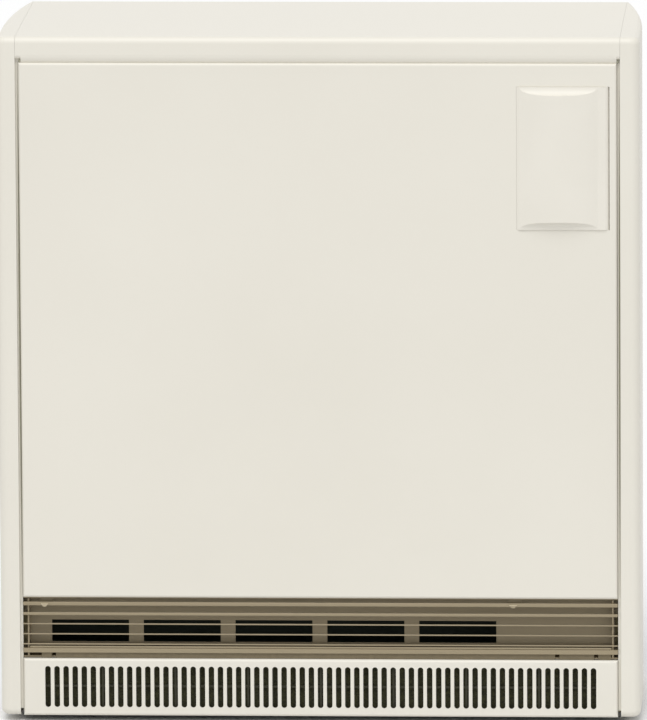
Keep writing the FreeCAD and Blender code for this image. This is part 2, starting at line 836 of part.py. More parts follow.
def make_control_box():
    """The moulded tray behind the flap, with a ledge that the flap shuts against, a bay for its barrel, a
    fascia for the two knobs and eyes for the hinge pin."""
    tray = new_body("control_box")
    grown = ["box_left - box_wall", "box_right + box_wall", "box_low - box_wall", "box_top + box_wall"]
    rim = ["box_left - box_wall - box_rim", "box_right + box_wall + box_rim",
           "box_low - box_wall - box_rim", "box_top + box_wall + box_rim"]
    prism(tray, "Y", "rim_y", "fascia_y + box_wall", rectangle(*grown))
    prism(tray, "Y", "rim_y", "rim_y + box_wall", rectangle(*rim))
    carve(tray, "Y", "rim_y", "fascia_y",
          rectangle("box_left + box_ledge", "box_right", "box_low + box_ledge", "box_top - box_ledge"))
    carve(tray, "Y", "rim_y", "fascia_y",
          rectangle("pin_x - barrel_radius - 2 * flap_gap", "box_right", "box_low", "box_top"))
    hole = carve(tray, "Y", "fascia_y", "fascia_y + box_wall", (("knob_x", "room_z"), "spindle_hole"))
    repeat(tray, hole, "Z", "knob_spacing", "2")
    carve(tray, "Z", "box_low - box_wall", "box_top + box_wall", (("pin_x", "pin_y"), "pin_radius + pin_fit"))


# Controls

def make_knob(label, centre_z):
    """A fluted knob with a skirt and a pointer groove, bored for its spindle."""
    knob = new_body(label)
    centre = ("knob_x", centre_z)
    middle = ("0", "0")
    grip = "knob_back - knob_skirt"
    prism(knob, "Y", grip, "knob_back", (middle, "knob_radius"), origin=centre)
    prism(knob, "Y", "knob_front", grip, (middle, "knob_grip_radius"), origin=centre)
    round_edges(knob, "knob_edge", at_level("Y", "knob_front"))
    flute = carve(knob, "Y", "knob_front", grip,
                  (("0", "-knob_grip_radius - flute_radius / 2"), "flute_radius"), origin=centre)
    repeat_round(knob, flute, "flute_count")
    carve(knob, "Y", "knob_front", "knob_front + pointer_depth",
          rectangle("-pointer_width / 2", "pointer_width / 2", "0", "knob_grip_radius"), origin=centre)
    carve(knob, "Y", "knob_back - spindle_in_knob", "knob_back",
          (middle, "spindle_radius + pin_fit"), origin=centre)


def make_spindle(label, centre_z):
    spindle = new_body(label)
    prism(spindle, "Y", "knob_back - spindle_in_knob + fit", "control_y + spindle_in_control - fit",
          (("knob_x", centre_z), "spindle_radius"))


def make_controller(label, centre_z):
    """A switch block with rounded edges, clamped behind the fascia."""
    block = new_body(label)
    left = "knob_x - control_width / 2"
    right = "knob_x + control_width / 2"
    low = f"{centre_z} - control_height / 2"
    high = f"{centre_z} + control_height / 2"
    prism(block, "Y", "control_y", "control_back", rectangle(left, right, low, high))
    round_edges(block, "control_corner", at_level("Y", "control_back"))
    carve(block, "Y", "control_y", "control_y + spindle_in_control",
          (("knob_x", centre_z), "spindle_radius + pin_fit"))


# Air outlet and inlet

def make_port_plate():
    """The plate across the outlet, with a row of ports, a slot at each end, small holes along the bottom
    for the grille's latches, and a lip along its top and bottom."""
    plate = new_body("outlet_port_plate")
    high = "panel_low - fit"
    prism(plate, "Y", "port_y", "port_y + port_sheet", rectangle("-panel_x", "panel_x", "outlet_low", high))
    lips = [rectangle("-panel_x", "panel_x", "outlet_low", "outlet_low + port_sheet"),
            rectangle("-panel_x", "panel_x", f"{high} - port_sheet", high)]
    prism(plate, "Y", "port_y - port_lip", "port_y", *lips)
    low_edge = "outlet_low + port_rise"
    port = carve(plate, "Y", "port_y", "port_y + port_sheet",
                 rectangle("port_left", "port_left + port_width", low_edge, f"{low_edge} + port_height"))
    repeat(plate, port, "X", "port_pitch", "port_count")
    end_low = "outlet_low + end_slot_rise"
    for start in ("-panel_x", "panel_x - end_slot"):
        carve(plate, "Y", "port_y", "port_y + port_sheet",
              rectangle(start, f"{start} + end_slot", end_low, f"{end_low} + end_slot_height"))
    first = "latch_start - panel_x"
    latches = [(first, "latch_slot"), (f"{first} + latch_slot + latch_gap", "latch_notch")]
    latches += [(f"panel_x - {side} - latch_notch", "latch_notch")
                for side in ("latch_end", "latch_side", "(latch_side + latch_pitch)")]
    latch_low = "outlet_low + port_sheet"
    for start, width in latches:
        carve(plate, "Y", "port_y", "port_y + port_sheet",
              rectangle(start, f"{start} + {width}", latch_low, f"{latch_low} + latch_height"))


def make_outlet_grille():
    """Thin slats that rise a little towards the room, held by a strip behind each end, above a thicker
    bottom rail."""
    grille = new_body("outlet_grille")
    low = "outlet_low + port_sheet + fit"
    high = "panel_low - port_sheet - 2 * fit"
    for start in ("cap_inset - panel_x", "panel_x - cap_inset - cap_thick"):
        prism(grille, "X", start, f"{start} + cap_thick",
              rectangle("bar_y + cap_set", "port_y - fit", low, high))
    bar_z = "outlet_low + bar_bottom"
    slat = prism(grille, "X", "-panel_x", "panel_x", [
        ("bar_y", f"{bar_z} + bar_tilt"), ("bar_y + bar_depth", bar_z),
        ("bar_y + bar_depth", f"{bar_z} + bar_thick"), ("bar_y", f"{bar_z} + bar_thick + bar_tilt")])
    repeat(grille, slat, "Z", "bar_pitch", "bar_count")
    rail = "outlet_low + rail_rise"
    prism(grille, "X", "-panel_x", "panel_x",
          rectangle("bar_y", "bar_y + bar_depth", rail, f"{rail} + rail_thick"))


def make_grille_clips():
    """Two spring clips that hold the grille's top slat to the lip of the port plate."""
    clips = new_body("grille_clips")
    start = "clip_left - panel_x"
    high = "panel_low - port_sheet - 2 * fit"
    back = "bar_y + bar_depth + fit"
    clip = prism(clips, "X", start, f"{start} + clip_width", [
        (back, f"{high} - clip_height"), (f"{back} + clip_sheet", f"{high} - clip_height"),
        (f"{back} + clip_sheet", f"{high} - clip_sheet"), ("port_y - fit", f"{high} - clip_sheet"),
        ("port_y - fit", high), (back, high)])
    repeat(clips, clip, "X", "2 * panel_x - clip_left - clip_right", "2")


def make_inlet_grille():
    grille = new_body("inlet_grille")
    prism(grille, "Y", "front_y", "front_y + inlet_return",
          rectangle("-panel_x", "panel_x", "foot_height", "inlet_top"))
    round_edges(grille, "inlet_edge", at_level("Y", "front_y"))
    shell(grille, "inlet_wall", at_level("Y", "front_y + inlet_return"))
    opening = carve(grille, "Y", "front_y", "front_y + inlet_wall",
                    slot("slot_margin - panel_x", "slot_low", "slot_high", "slot_width"))
    repeat(grille, opening, "X", "slot_pitch", "slot_count")


def make_fluff_filter():
    filter_frame = new_body("fluff_filter")
    prism(filter_frame, "Y", "filter_y", "filter_y + filter_thick",
          rectangle("-filter_x", "filter_x", "filter_low", "filter_top"))
    left = "filter_frame - filter_x"
    low = "filter_low + filter_frame"
    window = carve(filter_frame, "Y", "filter_y", "filter_y + filter_thick",
                   rectangle(left, f"{left} + filter_pitch_x - filter_rib",
                             low, f"{low} + filter_pitch_z - filter_rib"))
    repeat(filter_frame, window, "X", "filter_pitch_x", "filter_columns",
           ("Z", "filter_pitch_z", "filter_rows"))


# Core

def make_bay_wall():
    """The sheet between the core and the wiring bay, with holes for the element ends."""
    wall = new_body("bay_wall")
    prism(wall, "X", "bay_wall", "bay_left",
          rectangle("zone_y", "back_y - sheet - fit", "floor_z + fit", "nose_z - top_clear"))
    pierce_for_elements(wall, "bay_wall", "bay_left", "groove_radius")
    carve(wall, "X", "bay_wall", "bay_left", (("core_y", "sensor_z"), "sensor_hole"))


def pierce_for_elements(body, start, end, radius):
    hole = carve(body, "X", start, end, (("core_y - element_leg", "first_element_z"), radius))
    repeat(body, hole, "Y", "2 * element_leg", "2", ("Z", "2 * layer", "brick_layers / 2"))


def pierce_for_air(body, start, end):
    """The two long passages that lead fan air up into the core and hot air down from it."""
    half = "passage_width / 2"
    passage = carve(body, "Z", start, end, rectangle(
        "brick_left + passage_inset", "brick_right - passage_inset",
        f"core_y - row_offset - {half}", f"core_y - row_offset + {half}"))
    repeat(body, passage, "Y", "2 * row_offset", "2")


def make_core_deck():
    deck = new_body("core_deck")
    prism(deck, "Z", "panel_low", "panel_low + deck_sheet",
          rectangle("-tray_x", "bay_wall - fit", "wall_y", "back_y"))
    pierce_for_air(deck, "panel_low", "panel_low + deck_sheet")


def make_insulation():
    left = "-tray_x"
    right = "bay_wall - fit"
    high = "cover_top"
    slabs = {
        "front_insulation": (left, right, "zone_y", "zone_y + front_insulation"),
        "rear_insulation": (left, right, "back_y - rear_insulation", "back_y"),
        "left_insulation": (left, f"{left} + side_insulation", "brick_front", "brick_back"),
        "right_insulation": (f"{right} - side_insulation", right, "brick_front", "brick_back"),
    }
    for label, plan in slabs.items():
        slab = new_body(label)
        prism(slab, "Z", "deck_top", high, rectangle(*plan))
        if label == "right_insulation":
            pierce_for_elements(slab, plan[0], plan[1], "groove_radius")
            carve(slab, "X", plan[0], plan[1], (("core_y", "sensor_z"), "sensor_hole"))
        if label == "left_insulation":
            reach = "element_leg + groove_radius + bend_clear"
            room = "groove_radius + bend_clear"
            pocket = carve(slab, "X", "brick_left - fit - bend_pocket + bend_clear", plan[1], rectangle(
                f"core_y - ({reach})", f"core_y + {reach}",
                f"first_element_z - ({room})", f"first_element_z + {room}"))
            repeat(slab, pocket, "Z", "2 * layer", "brick_layers / 2")
    base = new_body("base_insulation")
    prism(base, "Z", "deck_top", "deck_top + base_insulation",
          rectangle("brick_left", "brick_right", "brick_front", "brick_back"))
    pierce_for_air(base, "deck_top", "deck_top + base_insulation")
    top = new_body("top_insulation")
    prism(top, "Z", "cover_top + fit", "cover_top + fit + top_insulation",
          rectangle(left, right, "zone_y", "back_y"))


def make_bricks():
    """Two stacks of bricks with upright air channels, and grooves for the elements between layers."""
    bricks = new_body("storage_bricks")
    brick = prism(bricks, "Z", "brick_low", "brick_low + layer - fit",
                  rectangle("brick_left", "brick_left + brick_length", "brick_front", "brick_back"))
    repeat(bricks, brick, "Z", "layer", "brick_layers", ("X", "brick_length + fit", "2"))
    half = "channel_width / 2"
    for stack in (0, 1):
        first = f"brick_left + {stack} * (brick_length + fit) + channel_margin"
        channel = carve(bricks, "Z", "brick_low", "brick_top", rectangle(
            first, f"{first} + channel_pitch - channel_web",
            f"core_y - row_offset - {half}", f"core_y - row_offset + {half}"))
        repeat(bricks, channel, "X", "channel_pitch", "channel_count", ("Y", "2 * row_offset", "2"))
    pierce_for_elements(bricks, "brick_left", "brick_right", "groove_radius")


def make_elements():
    """Hairpin tubular elements that lie in the grooves between every other pair of layers."""
    elements = new_body("heating_elements")
    path = sketch_on(elements, "Z", "first_element_z")
    draw(path, [
        ("element_end", "core_y + element_leg"), ("bend_x", "core_y + element_leg", HALF_ROUND, LEFT_TURN),
        ("bend_x", "core_y - element_leg"), ("element_end", "core_y - element_leg")], closed=False)
    profile = sketch_on(elements, "X", "element_end", ("core_y + element_leg", "first_element_z"))
    draw_circle(profile, ("0", "0"), "element_radius")
    doc.recompute()
    tube = elements.newObject("PartDesign::AdditivePipe", "Tube")
    tube.Profile = profile
    tube.Spine = (path, ["Edge1", "Edge2", "Edge3"])
    repeat(elements, tube, "Z", "2 * layer", "brick_layers / 2")


def make_element_fittings():
    bushes = new_body("element_bushes")
    bush = prism(bushes, "X", "bay_left + fit", "bay_left + fit + bush_length",
                 (("core_y - element_leg", "first_element_z"), "bush_radius"),
                 (("core_y - element_leg", "first_element_z"), "element_radius + bush_fit"))
    repeat(bushes, bush, "Y", "2 * element_leg", "2", ("Z", "2 * layer", "brick_layers / 2"))
    links = new_body("element_links")
    start = "element_end - 2 * link_thick"
    half = "link_width / 2"
    link = prism(links, "X", start, f"{start} + link_thick", rectangle(
        f"core_y - element_leg - {half}", f"core_y - element_leg + {half}",
        f"first_element_z - {half}", f"first_element_z + (brick_layers - 2) * layer + {half}"))
    repeat(links, link, "Y", "2 * element_leg", "2")
    pierce_for_elements(links, start, f"{start} + link_thick", "element_radius + bush_fit")


def make_core_cover():
    """A shallow tray turned over on the bricks, which leaves room for the air to turn."""
    cover = new_body("core_cover")
    low = "brick_top"
    prism(cover, "Z", low, "cover_top", rectangle("brick_left", "brick_right", "brick_front", "brick_back"))
    shell(cover, "sheet", at_level("Z", low))
    carve(cover, "X", "brick_right - sheet", "brick_right", (("core_y", "sensor_z"), "sensor_hole"))


def make_core_sensor():
    sensor = new_body("core_sensor")
    prism(sensor, "X", "element_end - sensor_length", "element_end",
          (("core_y", "sensor_z"), "sensor_radius"))


# Air mixing

def make_air_divider():
    """A folded sheet that parts the outlet from the fan, with the bypass opening in its upright side."""
    divider = new_body("air_divider")
    prism(divider, "X", "divider_left", "divider_right", [
        ("port_y + port_sheet + fit", "outlet_low"), ("divider_y + sheet", "outlet_low"),
        ("divider_y + sheet", "divider_top"), ("divider_y", "divider_top"),
        ("divider_y", "outlet_low + sheet"), ("port_y + port_sheet + fit", "outlet_low + sheet")])
    carve(divider, "Y", "divider_y", "divider_y + sheet", rectangle(
        "damper_left + damper_lap", "damper_right - damper_lap", "damper_low + damper_lap", "damper_z"))


def make_damper():
    flap = new_body("damper_flap")
    face = "divider_y - damper_gap"
    shelf = "damper_z + damper_sheet / 2"
    prism(flap, "X", "damper_left", "damper_right", [
        (f"{face} - damper_sheet", "damper_low"), (face, "damper_low"), (face, shelf), ("damper_y", shelf),
        ("damper_y", f"{shelf} - damper_sheet"), (f"{face} - damper_sheet", f"{shelf} - damper_sheet")])
    prism(flap, "X", "damper_left", "damper_right", (("damper_y", "damper_z"), "sleeve_radius"))
    carve(flap, "X", "damper_left", "damper_right", (("damper_y", "damper_z"), "damper_pin + pin_fit"))
    shaft = new_body("damper_shaft")
    overhang = "bracket_offset + bracket_sheet + coil_width + 3 * fit"
    prism(shaft, "X", f"damper_left - ({overhang})", f"damper_right + {overhang}",
          (("damper_y", "damper_z"), "damper_pin"))
    brackets = new_body("damper_brackets")
    start = "damper_left - bracket_offset - bracket_sheet"
    half = "bracket_size / 2"
    ear = prism(brackets, "X", start, f"{start} + bracket_sheet", rectangle(
        f"damper_y - {half}", "divider_y - fit", f"damper_z - {half}", f"damper_z + {half}"))
    repeat(brackets, ear, "X", "damper_right - damper_left + 2 * bracket_offset + bracket_sheet", "2")
    carve(brackets, "X", "divider_left", "divider_right", (("damper_y", "damper_z"), "damper_pin + pin_fit"))


def make_bimetal_coil():
    """A flat spiral about the damper shaft, drawn as half rounds that grow by half a step at each turn."""
    coil = new_body("bimetal_coil")
    count = int(number("coil_half_turns"))

    def crossings(first_radius):
        """Where the spiral crosses its level line, to the right and to the left by turns."""
        sides = ["-" if turn % 2 else "" for turn in range(count + 1)]
        return [f"{side}({first_radius} + {turn // 2} * coil_step)" for turn, side in enumerate(sides)]

    inner = crossings("damper_pin + seam_fit")
    outer = crossings("damper_pin + seam_fit + coil_thick")
    points = [(spot, "0", HALF_ROUND, LEFT_TURN) for spot in inner[:-1]]
    points.append((inner[-1], "0"))
    points += [(spot, "0", HALF_ROUND, RIGHT_TURN) for spot in reversed(outer[1:])]
    points.append((outer[0], "0"))
    end = "damper_left - bracket_offset - bracket_sheet - fit"
    prism(coil, "X", f"{end} - coil_width", end, points, origin=("damper_y", "damper_z"))


# Fan

def make_fan_housing():
    guides = new_body("fan_guides")
    low = "fan_z - scroll_radius"
    wall_back = "fan_y + scroll_radius"
    lead = "fan_y - scroll_lead"
    top = "panel_low - fit"
    prism(guides, "X", "cheek_left + cheek_sheet + fit", "cheek_right - fit", [
        (lead, low), ("fan_y", low, "scroll_radius", LEFT_TURN), (wall_back, "fan_z"), (wall_back, top),
        (f"{wall_back} + sheet", top), (f"{wall_back} + sheet", "fan_z", "scroll_radius + sheet", RIGHT_TURN),
        ("fan_y", f"{low} - sheet"), (lead, f"{low} - sheet")])
    face = "fan_y - tongue_forward"
    knee = "fan_z + tongue_rise"
    toe = "fan_z + tongue_rise - tongue_toe * 3 / 4"
    prism(guides, "X", "cheek_left + cheek_sheet + fit", "cheek_right - fit", [
        (face, top), (f"{face} - sheet", top), (f"{face} - sheet", knee), (f"{face} - tongue_toe", toe),
        (f"{face} - tongue_toe + sheet", f"{toe} - sheet / 2"), (face, f"{knee} - sheet / 2")])
    cheeks = new_body("fan_cheeks")
    outline = rectangle(f"{lead} - cheek_sheet", f"{wall_back} + sheet + cheek_sheet", "floor_z + fit", top)
    prism(cheeks, "X", "cheek_left", "cheek_left + cheek_sheet", outline,
          (("fan_y", "fan_z"), "bearing_radius + pin_fit"))
    prism(cheeks, "X", "cheek_right", "cheek_right + cheek_sheet", outline,
          (("fan_y", "fan_z"), "shaft_hole"))
    bearing = new_body("fan_bearing")
    middle = ("fan_y", "fan_z")
    prism(bearing, "X", "cheek_left + cheek_sheet - bearing_length", "cheek_left + cheek_sheet",
          (middle, "bearing_radius"), (middle, "shaft_radius + pin_fit"))
    prism(bearing, "X", "cheek_left - fit - bearing_flange", "cheek_left - fit",
          (middle, "bearing_radius + bearing_flange"), (middle, "shaft_radius + pin_fit"))


def make_impeller():
    """A drum of curved blades between two end discs with hubs, stiffened by a ring at its middle."""
    drum = new_body("fan_impeller")
    axis = ("fan_y", "fan_z")
    middle = ("0", "0")
    bore = (middle, "shaft_radius + pin_fit")
    for length, radius in (("impeller_disc", "impeller_radius"), ("hub_length", "hub_radius")):
        section = ((middle, radius), bore)
        prism(drum, "X", "impeller_left", f"impeller_left + {length}", *section, origin=axis)
        prism(drum, "X", f"impeller_right - {length}", "impeller_right", *section, origin=axis)
    root = "impeller_radius - blade_depth"
    tip = "impeller_radius - blade_thick / 2"
    blade = prism(drum, "X", "impeller_left", "impeller_right", [
        ("0", root, "blade_curve", RIGHT_TURN), ("blade_depth / 2", tip),
        ("blade_depth / 2 - blade_thick", tip, "blade_curve + blade_thick", LEFT_TURN),
        ("-blade_thick", root)], origin=axis)
    repeat_round(drum, blade, "blade_count")
    centre = "(impeller_left + impeller_right) / 2"
    prism(drum, "X", f"{centre} - impeller_disc / 2", f"{centre} + impeller_disc / 2",
          (middle, "impeller_radius"), (middle, root), origin=axis)


def make_fan_shaft():
    shaft = new_body("fan_shaft")
    round_section = (("fan_y", "fan_z"), "shaft_radius")
    prism(shaft, "X", "cheek_left - bearing_length - shaft_overhang", "impeller_left + hub_length",
          round_section)
    prism(shaft, "X", "impeller_right - hub_length", "strap_x + strap_sheet + shaft_overhang",
          round_section)


def make_motor():
    axis = ("fan_y", "fan_z")
    half = "stator_width / 2"
    head = "fan_z + stator_head"
    window_low = "fan_z + stator_foot"
    window_high = "fan_z + stator_head - stator_leg"
    stator = new_body("motor_stator")
    prism(stator, "X", "stator_left", "stator_right",
          rectangle(f"fan_y - {half}", f"fan_y + {half}", "fan_z - stator_foot", head),
          (axis, "rotor_radius + air_gap"),
          rectangle("fan_y - stator_window / 2", "fan_y + stator_window / 2", window_low, window_high))
    coil = new_body("motor_coil")
    left = "fan_y - stator_window / 2 + fit"
    right = "fan_y + stator_window / 2 - fit"
    prism(coil, "X", "stator_left - coil_end", "stator_right + coil_end",
          rectangle(left, right, f"{window_low} + fit", f"{head} + coil_cover"))
    carve(coil, "Y", left, right, rectangle(
        "stator_left - fit", "stator_right + fit", f"{window_high} - fit", f"{head} + fit"))
    rotor = new_body("motor_rotor")
    prism(rotor, "X", "stator_left", "stator_right", (axis, "rotor_radius"), (axis, "shaft_radius + pin_fit"))
    mounts = new_body("motor_mounts")
    post = prism(mounts, "X", "cheek_right + cheek_sheet + fit", "stator_left - fit",
                 ((f"fan_y - {half} + post_radius", "fan_z - stator_foot + post_radius"), "post_radius"))
    repeat(mounts, post, "Y", "stator_width - 2 * post_radius", "2")
    foot_end = "stator_right + fit"
    outside = "strap_x + strap_sheet"
    front = f"fan_y - {half}"
    back = f"fan_y + {half}"
    prism(mounts, "Z", "fan_z - strap_width / 2", "fan_z + strap_width / 2", [
        (foot_end, front), (outside, front), (outside, back), (foot_end, back),
        (foot_end, f"{back} - strap_sheet"), ("strap_x", f"{back} - strap_sheet"),
        ("strap_x", f"{front} + strap_sheet"), (foot_end, f"{front} + strap_sheet")])
    carve(mounts, "X", "strap_x", "strap_x + strap_sheet", (axis, "shaft_radius + pin_fit"))


# Electrics

def make_terminal_block():
    block = new_body("terminal_block")
    low = "floor_z + fit"
    prism(block, "Z", low, "terminal_top", rectangle(
        "knob_x - terminal_half", "knob_x + terminal_half", "terminal_y", "terminal_y + terminal_depth"))
    first = "knob_x - terminal_half + terminal_pitch / 2"
    wire = carve(block, "Y", "terminal_y", "terminal_y + terminal_depth / 3", rectangle(
        f"{first} - terminal_slot / 2", f"{first} + terminal_slot / 2",
        "terminal_top - 2 * terminal_slot", "terminal_top - terminal_slot"))
    repeat(block, wire, "X", "terminal_pitch", "terminal_ways")
    screw = carve(block, "Z", "terminal_top - terminal_slot", "terminal_top",
                  ((first, "terminal_y + terminal_depth / 4"), "terminal_screw"))
    repeat(block, screw, "X", "terminal_pitch", "terminal_ways")


def make_wiring_loom():
    """A sleeved bundle from the terminal block up to the back of the controllers."""
    loom = new_body("wiring_loom")
    high = "room_z"
    path = sketch_on(loom, "X", "knob_x")
    draw(path, [
        ("loom_y", "terminal_top + fit"), ("loom_y", f"{high} - loom_bend", "loom_bend", LEFT_TURN),
        ("loom_y - loom_bend", high), ("control_back + fit", high)], closed=False)
    profile = sketch_on(loom, "Z", "terminal_top + fit", ("knob_x", "loom_y"))
    draw_circle(profile, ("0", "0"), "loom_radius")
    doc.recompute()
    bundle = loom.newObject("PartDesign::AdditivePipe", "Bundle")
    bundle.Profile = profile
    bundle.Spine = (path, ["Edge1", "Edge2", "Edge3"])


def make_safety_cutout():
    cutout = new_body("safety_cutout")
    spot = ("core_y", "cutout_z")
    end = "cutout_x + cutout_length"
    prism(cutout, "X", "cutout_x", "cutout_x + 2 * sheet", rectangle(
        "core_y - cutout_flange / 2", "core_y + cutout_flange / 2",
        "cutout_z - cutout_height / 2", "cutout_z + cutout_height / 2"))
    prism(cutout, "X", "cutout_x", end, (spot, "cutout_radius"))
    carve(cutout, "X", f"{end} - reset_depth", end, (spot, "reset_radius + pin_fit"))
    button = new_body("reset_button")
    start = f"{end} - reset_depth / 2"
    prism(button, "X", start, f"{start} + reset_length", (spot, "reset_radius"))


def make_cable_gland():
    """A bored bush in the rear panel, flush with its back, where the supply cable comes in."""
    gland = new_body("cable_gland")
    middle = ("gland_x", "gland_z")
    seat = "rear_y - sheet - fit"
    prism(gland, "Y", "rear_y - gland_length", "rear_y - fit", (middle, "gland_body"), (middle, "gland_bore"))
    prism(gland, "Y", f"{seat} - gland_lip", seat, (middle, "gland_flange"), (middle, "gland_bore"))


make_feet()
make_base_tray()
make_rear_panel()
make_inner_wall("left_inner_wall", -1)
make_inner_wall("right_inner_wall", 1)
make_side_panels()
make_lid()
make_front_panel()
make_panel_hangers()
make_inner_front_wall()
make_control_flap()
make_hinge_pin()
make_control_box()
make_knob("charge_knob", "charge_z")
make_knob("room_knob", "room_z")
make_spindle("charge_spindle", "charge_z")
make_spindle("room_spindle", "room_z")
make_controller("charge_controller", "charge_z")
make_controller("room_thermostat", "room_z")
make_port_plate()
make_outlet_grille()
make_grille_clips()
make_inlet_grille()
make_fluff_filter()
make_bay_wall()
make_core_deck()
make_insulation()
make_bricks()
make_elements()
make_element_fittings()
make_core_cover()
make_core_sensor()
make_air_divider()
make_damper()
make_bimetal_coil()
make_fan_housing()
make_impeller()
make_fan_shaft()
make_motor()
make_terminal_block()
make_wiring_loom()
make_safety_cutout()
make_cable_gland()
doc.recompute()

# Every object has to be sound before anything is written.
for thing in doc.Objects:
    if "Invalid" in thing.State or "Error" in thing.State:
        raise RuntimeError(f"{thing.Label} failed: {thing.State}")
for label, thing in nodes.items():
    if thing.Shape.isNull() or not thing.Shape.isValid():
        raise RuntimeError(f"{label} has no sound shape")

os.makedirs("parts", exist_ok=True)
for label, thing in nodes.items():
    thing.Shape.exportStep(f"parts/{label}.step")
print(len(nodes), "sub-parts,", sum(len(thing.Shape.Solids) for thing in nodes.values()), "solids")
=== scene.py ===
import json
import math

import bmesh
import bpy
from mathutils import Matrix, Vector


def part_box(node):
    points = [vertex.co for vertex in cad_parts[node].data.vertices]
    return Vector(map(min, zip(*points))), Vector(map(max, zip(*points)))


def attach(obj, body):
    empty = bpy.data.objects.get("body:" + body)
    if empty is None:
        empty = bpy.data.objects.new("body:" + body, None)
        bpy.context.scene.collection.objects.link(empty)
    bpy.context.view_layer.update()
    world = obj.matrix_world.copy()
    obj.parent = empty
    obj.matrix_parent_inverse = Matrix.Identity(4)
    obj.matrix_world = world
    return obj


# Finishes, small details, light and camera for a fan-assisted storage heater.
# Metres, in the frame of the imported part: +Z up, +X to the right as the heater is seen, -Y to the room.

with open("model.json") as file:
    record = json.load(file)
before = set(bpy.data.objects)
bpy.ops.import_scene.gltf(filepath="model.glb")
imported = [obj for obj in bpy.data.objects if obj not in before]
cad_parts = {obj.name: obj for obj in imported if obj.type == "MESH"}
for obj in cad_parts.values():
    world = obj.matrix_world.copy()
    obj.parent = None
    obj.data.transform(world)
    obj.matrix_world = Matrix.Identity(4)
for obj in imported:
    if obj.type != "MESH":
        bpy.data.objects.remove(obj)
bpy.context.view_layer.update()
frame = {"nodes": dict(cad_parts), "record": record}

MM = 0.001
scene = bpy.context.scene
scene.view_settings.view_transform = "Standard"


# Finishes

def add_node(tree, kind, values=None):
    node = tree.nodes.new(kind)
    for name, value in (values or {}).items():
        node.inputs[name].default_value = value
    return node


def blotches(tree, size, stretch=(1, 1, 1), detail=4):
    """A soft random pattern with features of about this size, drawn out along an axis if asked."""
    place = add_node(tree, "ShaderNodeTexCoord")
    scaled = add_node(tree, "ShaderNodeMapping", {"Scale": [1 / part for part in stretch]})
    tree.links.new(place.outputs["Object"], scaled.inputs["Vector"])
    noise = add_node(tree, "ShaderNodeTexNoise", {"Scale": 1 / size, "Detail": detail})
    tree.links.new(scaled.outputs["Vector"], noise.inputs["Vector"])
    return noise.outputs["Fac"]


def crystals(tree, size):
    """A patchwork of cells of about this size, each with its own random value."""
    place = add_node(tree, "ShaderNodeTexCoord")
    cells = add_node(tree, "ShaderNodeTexVoronoi", {"Scale": 1 / size})
    tree.links.new(place.outputs["Object"], cells.inputs["Vector"])
    single = add_node(tree, "ShaderNodeSeparateColor")
    tree.links.new(cells.outputs["Color"], single.inputs["Color"])
    return single.outputs["Red"]


def spread(tree, value, low, high, start, end):
    """A pattern's value stretched from the span between start and end to run from low to high."""
    ranged = add_node(tree, "ShaderNodeMapRange", {
        "From Min": start, "From Max": end, "To Min": low, "To Max": high})
    tree.links.new(value, ranged.inputs["Value"])
    return ranged.outputs["Result"]


def finish(name, dark, light, roughness, pattern=blotches, patch=0.12, stretch=(1, 1, 1), grain=0.001,
           grain_height=0.00001, metallic=0.0, edge=0.0004):
    """A surface whose colour and gloss drift over its patches, with a fine grain and softened edges."""
    material = bpy.data.materials.new(name)
    material.use_nodes = True
    tree = material.node_tree
    shader = tree.nodes["Principled BSDF"]
    shader.inputs["Metallic"].default_value = metallic
    if pattern is crystals:
        patches, start, end = crystals(tree, patch), 0, 1
    else:
        patches, start, end = blotches(tree, patch, stretch), 0.3, 0.7
    ramp = add_node(tree, "ShaderNodeValToRGB")
    for stop, position, colour in zip(ramp.color_ramp.elements, (start, end), (dark, light)):
        stop.position = position
        stop.color = (*colour, 1)
    tree.links.new(patches, ramp.inputs["Fac"])
    tree.links.new(ramp.outputs["Color"], shader.inputs["Base Color"])
    tree.links.new(spread(tree, patches, *roughness, start, end), shader.inputs["Roughness"])
    soft = add_node(tree, "ShaderNodeBevel", {"Radius": edge})
    bump = add_node(tree, "ShaderNodeBump", {"Distance": grain_height})
    tree.links.new(blotches(tree, grain, stretch, detail=2), bump.inputs["Height"])
    tree.links.new(soft.outputs["Normal"], bump.inputs["Normal"])
    tree.links.new(bump.outputs["Normal"], shader.inputs["Normal"])
    return material


